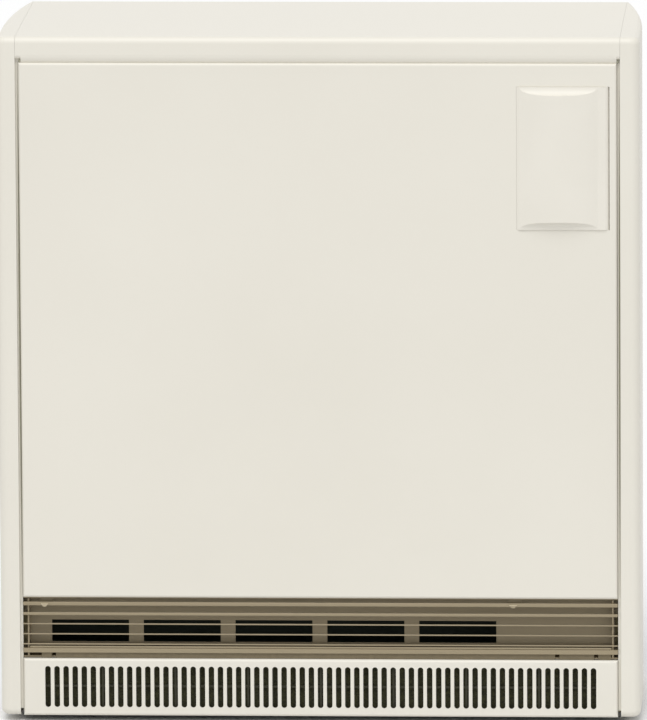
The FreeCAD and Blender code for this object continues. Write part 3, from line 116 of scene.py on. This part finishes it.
ALONG_X = (40, 1, 1)
CREAM = {
    "dark": (0.775, 0.744, 0.660), "light": (0.800, 0.770, 0.688), "roughness": (0.36, 0.46),
    "patch": 0.25, "grain": 0.0014, "grain_height": 0.000012}
FINISHES = {
    "cream_paint": finish("satin_cream_enamel", **CREAM),
    "cream_plastic": finish(
        "moulded_cream_plastic", (0.785, 0.754, 0.672), (0.808, 0.777, 0.696), (0.40, 0.50),
        patch=0.06, grain=0.0007, grain_height=0.00001),
    "bronze_paint": finish(
        "bronze_enamel", (0.296, 0.242, 0.152), (0.342, 0.282, 0.179), (0.34, 0.44),
        patch=0.02, stretch=ALONG_X, grain=0.0006, grain_height=0.000008, metallic=0.1),
    "galvanised": finish(
        "galvanised_sheet", (0.475, 0.490, 0.500), (0.555, 0.565, 0.570), (0.38, 0.48),
        pattern=crystals, patch=0.009, grain=0.002, grain_height=0.00001, metallic=0.85),
    "steel": finish(
        "drawn_steel", (0.42, 0.42, 0.43), (0.58, 0.58, 0.58), (0.25, 0.40),
        patch=0.003, stretch=ALONG_X, grain=0.0008, metallic=1.0),
    # Near-black steel for the parts seen through the outlet ports: partly heat-blackening, and partly
    # painted shade for the depth of the ports
    "blued_steel": finish(
        "blackened_steel_port_shade", (0.015, 0.021, 0.012), (0.033, 0.042, 0.027), (0.50, 0.70),
        patch=0.03, grain=0.002, grain_height=0.00002, metallic=0.3),
    "insulation": finish(
        "pressed_fibre_board", (0.55, 0.51, 0.44), (0.72, 0.68, 0.60), (0.85, 0.95),
        patch=0.02, stretch=(3, 1, 1), grain=0.002, grain_height=0.0004),
    "brick": finish(
        "fired_magnetite_brick", (0.022, 0.019, 0.017), (0.050, 0.042, 0.037), (0.80, 0.95),
        patch=0.004, grain=0.0012, grain_height=0.0002),
    "dark_plastic": finish(
        "moulded_black_plastic", (0.012, 0.012, 0.013), (0.020, 0.020, 0.021), (0.38, 0.50),
        patch=0.02, grain=0.0005, grain_height=0.00002),
    "ceramic": finish(
        "glazed_ceramic", (0.70, 0.67, 0.60), (0.80, 0.78, 0.72), (0.12, 0.22), patch=0.01),
    "copper": finish(
        "enamelled_winding", (0.40, 0.14, 0.06), (0.55, 0.22, 0.10), (0.28, 0.40),
        patch=0.004, stretch=ALONG_X, grain=0.0005, grain_height=0.0001, metallic=0.9),
    "brass": finish(
        "plain_brass", (0.48, 0.34, 0.12), (0.60, 0.44, 0.17), (0.25, 0.40), patch=0.01, metallic=1.0),
    "filter": finish(
        "olive_moulded_filter", (0.036, 0.035, 0.017), (0.052, 0.050, 0.026), (0.55, 0.70),
        patch=0.01, grain=0.0006, grain_height=0.00005),
    "rubber": finish(
        "black_rubber", (0.012, 0.012, 0.012), (0.022, 0.022, 0.021), (0.60, 0.80),
        patch=0.01, grain=0.0005, grain_height=0.00005),
    "red_plastic": finish(
        "moulded_red_plastic", (0.36, 0.012, 0.010), (0.42, 0.018, 0.014), (0.30, 0.40), patch=0.004),
    "bimetal": finish(
        "rolled_bimetal_strip", (0.34, 0.29, 0.20), (0.46, 0.40, 0.29), (0.30, 0.45),
        patch=0.004, stretch=ALONG_X, metallic=1.0),
}
foam_finish = finish(
    "filter_foam", (0.022, 0.022, 0.009), (0.060, 0.058, 0.024), (0.85, 0.95),
    pattern=crystals, patch=0.0016, grain=0.0012, grain_height=0.0006)
print_finish = finish(
    "dial_print", (0.025, 0.025, 0.027), (0.040, 0.040, 0.042), (0.45, 0.55), patch=0.005)
felt_finish = finish(
    "brown_felt", (0.182, 0.149, 0.093), (0.216, 0.178, 0.112), (0.85, 0.95),
    patch=0.004, grain=0.0008, grain_height=0.0001)
tinted_finish = finish(
    "heat_tinted_sheet", (0.280, 0.235, 0.125), (0.330, 0.280, 0.155), (0.45, 0.60),
    patch=0.03, grain=0.002, metallic=0.85)
# Olive-grey rubber for the strips and buffers in the gaps round the front panel; its dark colour is painted
# shade for those gaps
gap_shade_rubber_finish = finish(
    "olive_grey_rubber_gap_shade", (0.350, 0.335, 0.250), (0.385, 0.370, 0.278), (0.60, 0.80),
    patch=0.01, grain=0.0005, grain_height=0.00005)
seamless_cream = finish("seamless_cream_enamel", **CREAM, edge=0.00002)
BESIDE_THE_CORE = ("left_inner_wall", "right_inner_wall")


def dress_nodes():
    """Give each node the finish of its slot, but the walls beside the hot core the tint they take on."""
    for part in frame["record"]["subparts"]:
        node = part["node"]
        for place in frame["nodes"][node].material_slots:
            place.material = tinted_finish if node in BESIDE_THE_CORE else FINISHES[part["material_slot"]]


# Small details

def piece(name, mesh_builder, material, body):
    """Turn a built mesh into a piece that rides on a body."""
    mesh = bpy.data.meshes.new(name)
    bmesh.ops.recalc_face_normals(mesh_builder, faces=mesh_builder.faces)
    mesh_builder.to_mesh(mesh)
    mesh_builder.free()
    mesh.materials.append(material)
    thing = bpy.data.objects.new(name, mesh)
    scene.collection.objects.link(thing)
    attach(thing, body)


def add_block(builder, low, high, bevel, foot=1):
    """A block between two corners with its edges rounded, and a foot of this share of the full width."""
    made = bmesh.ops.create_cube(builder, size=1)["verts"]
    middle = (low[0] + high[0]) / 2
    for vertex in made:
        at_foot = vertex.co.z < 0
        vertex.co = Vector([low[axis] if vertex.co[axis] < 0 else high[axis] for axis in range(3)])
        if at_foot:
            vertex.co.x = middle + foot * (vertex.co.x - middle)
    edges = {edge for vertex in made for edge in vertex.link_edges}
    bmesh.ops.bevel(builder, geom=list(edges), offset=bevel, segments=2, profile=0.5, affect="EDGES")


def add_skin(builder, rings):
    """A closed skin over rings of points, from the first ring to the last, with flat ends."""
    made = [[builder.verts.new(point) for point in ring] for ring in rings]
    for near, far in zip(made, made[1:]):
        for here in range(len(near)):
            after = (here + 1) % len(near)
            builder.faces.new((near[here], near[after], far[after], far[here]))
    builder.faces.new(made[0])
    builder.faces.new(made[-1])


FACING_ROOM = Matrix.Rotation(math.radians(90), 4, "X")


def make_clip_noses():
    """The small tapered noses of the two spring clips, at each clip's left edge under the top slat."""
    low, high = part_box("grille_clips")
    grille_low, grille_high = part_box("outlet_grille")
    clip_width = 12 * MM
    width, height = 8.4 * MM, 3.2 * MM
    middle_drop = 6 * MM
    front, back = grille_low.y - 0.9 * MM, grille_low.y + 0.3 * MM
    top = grille_high.z - middle_drop + height / 2
    builder = bmesh.new()
    for left in (low.x, high.x - clip_width):
        add_block(builder, (left, front, top - height), (left + width, back, top), bevel=0.4 * MM, foot=0.35)
    piece("grille_clip_noses", builder, FINISHES["bimetal"], "casing")


def make_slat_beads():
    """Rolled front edges on the two upper slats of the outlet grille, the top one thicker."""
    low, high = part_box("outlet_grille")
    top_drop = 4.6 * MM
    pitch = 9.675 * MM
    half_heights = (1.8 * MM, 1.4 * MM)
    front, back = low.y - 0.4 * MM, low.y + 1.2 * MM
    builder = bmesh.new()
    for slat, half_height in enumerate(half_heights):
        middle = high.z - top_drop - slat * pitch
        add_block(builder, (low.x, front, middle - half_height), (high.x, back, middle + half_height),
                  bevel=0.5 * MM)
    piece("slat_beads", builder, FINISHES["bronze_paint"], "casing")


def make_rail_bead():
    """A rounded bead on top of the outlet grille's rail, between the strips behind the grille's ends."""
    plate_low, plate_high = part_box("outlet_port_plate")
    rail_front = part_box("outlet_grille")[0].y
    end_inset = 6 * MM
    front, back = rail_front + 0.8 * MM, rail_front + 5 * MM
    bottom, top = plate_low.z + 9.02 * MM, plate_low.z + 11.2 * MM
    builder = bmesh.new()
    add_block(builder, (plate_low.x + end_inset, front, bottom), (plate_high.x - end_inset, back, top),
              bevel=0.6 * MM)
    piece("rail_bead", builder, FINISHES["bronze_paint"], "casing")


def make_rail_seal():
    """A felt strip that shuts the gap under the outlet grille's rail, left open at the grille's latches."""
    plate_low, plate_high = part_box("outlet_port_plate")
    clear = 0.02 * MM
    front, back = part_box("outlet_grille")[0].y + 2 * MM, plate_low.y - clear
    bottom, top = plate_low.z - 0.6 * MM, plate_low.z + 4.78 * MM
    insets_from_left = (17, 26.5, 30.5)
    insets_from_right = (59.4, 55.4, 22.6, 18.6, 6.5)
    ends = [plate_low.x + inset * MM for inset in insets_from_left]
    ends += [plate_high.x - inset * MM for inset in insets_from_right]
    builder = bmesh.new()
    for left, right in zip(ends[::2], ends[1::2]):
        add_block(builder, (left, front, bottom), (right, back, top), bevel=0.2 * MM)
    piece("rail_seal", builder, felt_finish, "casing")


def arc(centre, radii, start, end, steps=8):
    """Points in Y and Z along an oval's lower front quarter, by angles in degrees down from its front."""
    points = []
    for step in range(steps + 1):
        angle = math.radians(start + (end - start) * step / steps)
        points.append((centre[0] - radii[0] * math.cos(angle), centre[1] - radii[1] * math.sin(angle)))
    return points


def make_nose_strip():
    """A strip under the lid's nose that carries its curve on down to the front panel."""
    low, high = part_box("front_panel")
    clear = 0.02 * MM
    lip_radius = 4 * MM
    lip_start = 6
    lip_bottom = high.z + 3.5 * MM
    foot_z = high.z + clear
    foot_back = 2.6 * MM
    foot_turn = 45
    back = low.y + 4.5 * MM - clear
    ends = (low.x + 2.4 * MM, high.x - 0.2 * MM)
    lip_centre = (low.y + lip_radius, lip_bottom + lip_radius)
    under_lip = arc(lip_centre, (lip_radius + clear, lip_radius + clear), 90, lip_start)
    start_y, start_z = under_lip[-1]
    radius_y = (low.y + foot_back - start_y) / (1 - math.cos(math.radians(foot_turn)))
    radius_z = (start_z - foot_z) / math.sin(math.radians(foot_turn))
    front = arc((start_y + radius_y, start_z), (radius_y, radius_z), 0, foot_turn)
    outline = front + [(back, foot_z), (back, lip_bottom - clear)] + under_lip[:-1]
    builder = bmesh.new()
    add_skin(builder, [[(x, y, z) for y, z in outline] for x in ends])
    piece("nose_strip", builder, seamless_cream, "casing")


def make_cover_liner():
    """A thin lining of the front panel's cut-out, which leaves the control cover just room to swing."""
    low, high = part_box("control_flap")
    sheet = 1 * MM
    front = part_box("front_panel")[0].y
    back = front + sheet
    near, far = 0.05 * MM, 0.28 * MM
    sides = (
        ((low.x - far, low.z - far), (low.x - near, high.z + far)),
        ((high.x + near, low.z - far), (high.x + far, high.z + far)),
        ((low.x, low.z - far), (high.x, low.z - near)),
        ((low.x, high.z + near), (high.x, high.z + far)))
    builder = bmesh.new()
    for (left, bottom), (right, top) in sides:
        add_skin(builder, [
            [(left, front, z), (right, front, z), (right, back, z), (left, back, z)] for z in (bottom, top)])
    piece("cover_liner", builder, seamless_cream, "casing")


def make_shade_buffers():
    """Small rubber buffers in the gap over the front panel's top corners, which stop them rattling; their
    dark colour is painted shade for the dark holes there.
    """
    low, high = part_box("front_panel")
    left_inset = 0.4 * MM
    width = 1.8 * MM
    front, back = low.y + 2 * MM, low.y + 4.48 * MM
    bottom, top = high.z + 0.1 * MM, high.z + 2.9 * MM
    builder = bmesh.new()
    for left in (low.x + left_inset, high.x):
        add_block(builder, (left, front, bottom), (left + width, back, top), bevel=0.5 * MM)
    piece("panel_corner_shade_buffers", builder, gap_shade_rubber_finish, "casing")


def make_shade_seals():
    """Rubber strips in the gaps beside the front panel, which stop it rattling; their olive-grey colour
    paints the gaps' shade, and they are thickest half-way up, where that shade is darkest.
    """
    low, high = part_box("front_panel")
    left_out, right_out = 0.95 * MM, 2.05 * MM
    half_width = 0.7 * MM
    thickness = 1.5 * MM
    end_share = 0.05
    back = low.y + 4.48 * MM
    stations, corners = 32, 8
    turns = [math.pi * corner / corners for corner in range(corners + 1)]
    builder = bmesh.new()
    for middle in (low.x - left_out, high.x + right_out):
        rings = []
        for station in range(stations + 1):
            up = station / stations
            z = low.z + up * (high.z - low.z)
            # The strips swell towards half-way up so that the painted shade in the gaps is darkest there
            share = end_share + (1 - end_share) * math.sin(math.pi * up)
            rings.append([
                (middle + share * half_width * math.cos(turn), back - share * thickness * math.sin(turn), z)
                for turn in turns])
        add_skin(builder, rings)
    piece("panel_shade_seals", builder, gap_shade_rubber_finish, "casing")


def make_filter_foam():
    """A sheet of open foam behind the filter's frame, uneven as cut foam is."""
    low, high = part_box("fluff_filter")
    inset = 2 * MM
    gap = 0.1 * MM
    thickness = 1.4 * MM
    ripple_height = 0.25 * MM
    columns, rows = 160, 14
    front = high.y + gap
    builder = bmesh.new()
    sheets = []
    for depth in (0, thickness):
        grid = []
        for row in range(rows + 1):
            line = []
            for column in range(columns + 1):
                across = column / columns
                up = row / rows
                # Two crossing waves of unlike length, so that the ripples don't line up in rows
                ripple = math.sin(61 * across + 5 * up) * math.sin(23 * up + 17 * across)
                line.append(builder.verts.new((
                    low.x + inset + across * (high.x - low.x - 2 * inset),
                    front + depth + (ripple_height * (1 + ripple) if depth else 0),
                    low.z + inset + up * (high.z - low.z - 2 * inset))))
            grid.append(line)
        for row in range(rows):
            for column in range(columns):
                builder.faces.new((grid[row][column], grid[row][column + 1],
                                   grid[row + 1][column + 1], grid[row + 1][column]))
        sheets.append(grid)
    near, far = sheets
    rim = [(0, column) for column in range(columns)] + [(row, columns) for row in range(rows)]
    rim += [(rows, column) for column in range(columns, 0, -1)] + [(row, 0) for row in range(rows, 0, -1)]
    for (row, column), (next_row, next_column) in zip(rim, rim[1:] + rim[:1]):
        builder.faces.new((near[row][column], near[next_row][next_column],
                           far[next_row][next_column], far[row][column]))
    piece("filter_foam", builder, foam_finish, "inlet_grille")


KNOBS = ("charge_knob", "room_knob")
SWEEP = math.radians(135)
NUMBERS = ("1", "2", "3", "4", "5", "6")


def dial_spot(knob, angle, radius):
    """A place on the fascia around a knob, by its angle from the top."""
    low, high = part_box(knob)
    centre = (low + high) / 2
    knob_gap = 0.4 * MM
    fascia = high.y + knob_gap
    return Vector((centre.x + radius * math.sin(angle), fascia, centre.z + radius * math.cos(angle)))


def make_dial_marks(knob):
    """Printed ticks around a knob, a longer one at each number."""
    low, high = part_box(knob)
    edge = (high.x - low.x) / 2
    gap = 1.2 * MM
    long, short = 2.6 * MM, 1.6 * MM
    half_width = 0.3 * MM
    raised, sunk = 0.1 * MM, 0.05 * MM
    builder = bmesh.new()
    ticks = 2 * (len(NUMBERS) - 1)
    for tick in range(ticks + 1):
        angle = SWEEP * (2 * tick / ticks - 1)
        length = short if tick % 2 else long
        middle = dial_spot(knob, angle, edge + gap + length / 2)
        turn = Matrix.Translation(middle) @ Matrix.Rotation(angle, 4, "Y")
        before = set(builder.verts)
        add_block(builder, (-half_width, -raised, -length / 2), (half_width, sunk, length / 2),
                  bevel=0.05 * MM)
        added = [vertex for vertex in builder.verts if vertex not in before]
        bmesh.ops.transform(builder, matrix=turn, verts=added)
    piece(f"{knob}_ticks", builder, print_finish, "casing")


def make_dial_numbers(knob):
    """Plain numbers around a knob, as thin raised print."""
    low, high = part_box(knob)
    edge = (high.x - low.x) / 2
    gap = 7.5 * MM
    size = 6 * MM
    half_thickness = 0.05 * MM
    weld = 0.001 * MM
    builder = bmesh.new()
    for index, number in enumerate(NUMBERS):
        angle = SWEEP * (2 * index / (len(NUMBERS) - 1) - 1)
        curve = bpy.data.curves.new("number", "FONT")
        curve.body = number
        curve.size = size
        curve.extrude = half_thickness
        curve.align_x = "CENTER"
        curve.align_y = "CENTER"
        holder = bpy.data.objects.new("number", curve)
        scene.collection.objects.link(holder)
        bpy.context.view_layer.update()
        flat = bpy.data.meshes.new_from_object(holder.evaluated_get(bpy.context.evaluated_depsgraph_get()))
        flat.transform(Matrix.Translation(dial_spot(knob, angle, edge + gap)) @ FACING_ROOM)
        builder.from_mesh(flat)
        bpy.data.objects.remove(holder)
        bpy.data.curves.remove(curve)
        bpy.data.meshes.remove(flat)
    bmesh.ops.remove_doubles(builder, verts=builder.verts, dist=weld)
    piece(f"{knob}_numbers", builder, print_finish, "casing")


def make_pointer(knob):
    """The dark line let into a knob's pointer groove."""
    low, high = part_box(knob)
    centre = (low + high) / 2
    half_width = 0.8 * MM
    sunk, groove_depth = 0.3 * MM, 0.8 * MM
    inner_end, outer_end = 1 * MM, 12.4 * MM
    builder = bmesh.new()
    add_block(builder, (centre.x - half_width, low.y + sunk, centre.z + inner_end),
              (centre.x + half_width, low.y + groove_depth, centre.z + outer_end), bevel=0.15 * MM)
    piece(f"{knob}_pointer", builder, print_finish, knob)


# Studio

def shown_directly(tree):
    """1 on rays from the camera or a mirror-like or clear surface, 0 on rays that only carry light."""
    path = add_node(tree, "ShaderNodeLightPath")
    seen = path.outputs["Is Camera Ray"]
    for other in ("Is Glossy Ray", "Is Transmission Ray"):
        either = tree.nodes.new("ShaderNodeMath")
        either.operation = "MAXIMUM"
        tree.links.new(seen, either.inputs[0])
        tree.links.new(path.outputs[other], either.inputs[1])
        seen = either.outputs["Value"]
    return seen


def make_floor():
    """White paper that keeps the heater's shadow and throws only part of its light back up."""
    half_size = 60
    shown, thrown = 0.975, 0.76
    mesh = bpy.data.meshes.new("floor")
    builder = bmesh.new()
    bmesh.ops.create_grid(builder, x_segments=1, y_segments=1, size=half_size)
    builder.to_mesh(mesh)
    builder.free()
    floor = bpy.data.objects.new("floor", mesh)
    scene.collection.objects.link(floor)
    paper = bpy.data.materials.new("studio_paper")
    paper.use_nodes = True
    tree = paper.node_tree
    shader = tree.nodes["Principled BSDF"]
    shader.inputs["Roughness"].default_value = 1
    shader.inputs["Specular IOR Level"].default_value = 0
    tree.links.new(spread(tree, shown_directly(tree), thrown, shown, 0, 1), shader.inputs["Base Color"])
    mesh.materials.append(paper)


def make_world():
    """An even white surround, which lights the object at a lower level than it shows."""
    ambient = 0.63
    world = bpy.data.worlds.new("studio")
    scene.world = world
    world.use_nodes = True
    tree = world.node_tree
    background = tree.nodes["Background"]
    tree.links.new(spread(tree, shown_directly(tree), ambient, 1, 0, 1), background.inputs["Strength"])
    background.inputs["Color"].default_value = (1, 1, 1, 1)


def make_lamp(name, azimuth, elevation, strength, softness):
    """A broad distant lamp, by where it stands round the heater and above it, in degrees."""
    lamp = bpy.data.lights.new(name, "SUN")
    lamp.energy = strength
    lamp.angle = math.radians(softness)
    holder = bpy.data.objects.new(name, lamp)
    round_about, above = math.radians(azimuth), math.radians(elevation)
    towards = Vector((math.sin(round_about) * math.cos(above), -math.cos(round_about) * math.cos(above),
                      math.sin(above)))
    holder.rotation_euler = towards.to_track_quat("Z", "Y").to_euler()
    scene.collection.objects.link(holder)


def make_camera():
    """A long lens, far off, a little above and to the right of the front."""
    turn, tilt, roll = math.radians(3.0), math.radians(-9.474), math.radians(-0.331)
    lens = bpy.data.cameras.new("camera")
    lens.sensor_width = 36
    lens.lens = 647.5
    camera = bpy.data.objects.new("camera", lens)
    camera.location = (0.6335, -12.118, 2.3529)
    upright = Matrix.Rotation(turn, 4, "Z") @ Matrix.Rotation(math.radians(90) + tilt, 4, "X")
    camera.rotation_euler = (upright @ Matrix.Rotation(roll, 4, "Z")).to_euler()
    scene.collection.objects.link(camera)
    scene.camera = camera


dress_nodes()
make_clip_noses()
make_slat_beads()
make_rail_bead()
make_rail_seal()
make_nose_strip()
make_cover_liner()
make_shade_buffers()
make_shade_seals()
make_filter_foam()
for knob_name in KNOBS:
    make_dial_marks(knob_name)
    make_dial_numbers(knob_name)
    make_pointer(knob_name)
make_floor()
make_world()
make_lamp("key", azimuth=-10, elevation=59, strength=1.39, softness=40)
make_lamp("fill", azimuth=12, elevation=6, strength=0.30, softness=30)
make_camera()
